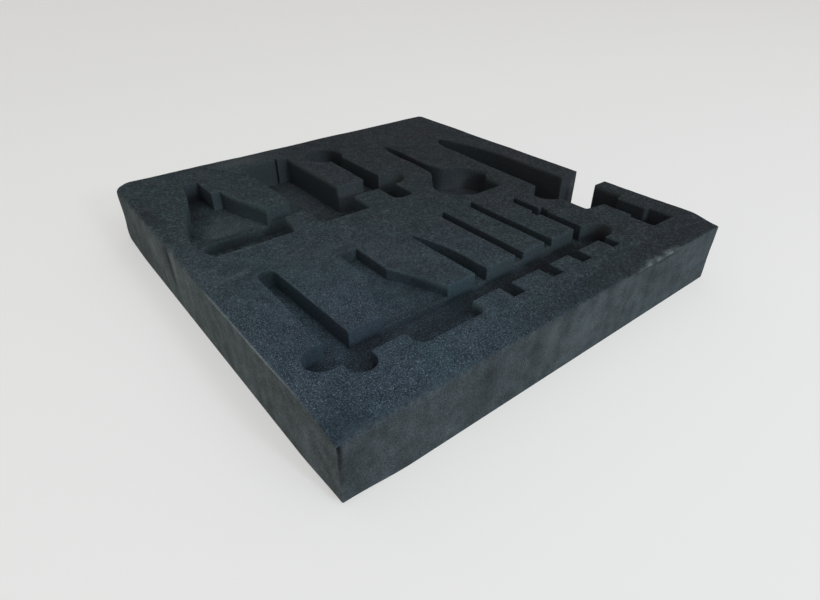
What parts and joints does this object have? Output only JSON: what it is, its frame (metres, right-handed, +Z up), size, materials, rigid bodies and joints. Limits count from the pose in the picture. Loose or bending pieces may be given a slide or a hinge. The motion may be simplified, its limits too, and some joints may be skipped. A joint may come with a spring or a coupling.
{
  "type": "conductive foam tray",
  "caption": "Flat charcoal foam slab with tool-shaped pockets of different depths cut into its top, crossed by finger channels and open at one side; holds tools in a drawer or case",
  "frame": {"origin": "middle of the slab's underside", "axes": "+X to the right, +Y from the front row of pockets to the rear row, +Z up out of the pockets"},
  "size_m": [0.345, 0.36, 0.05],
  "materials": {
    "foam": "closed-cell foam, matte"
  },
  "bodies": {
    "root": {"foam_tray": "foam"}
  },
  "joints": []
}
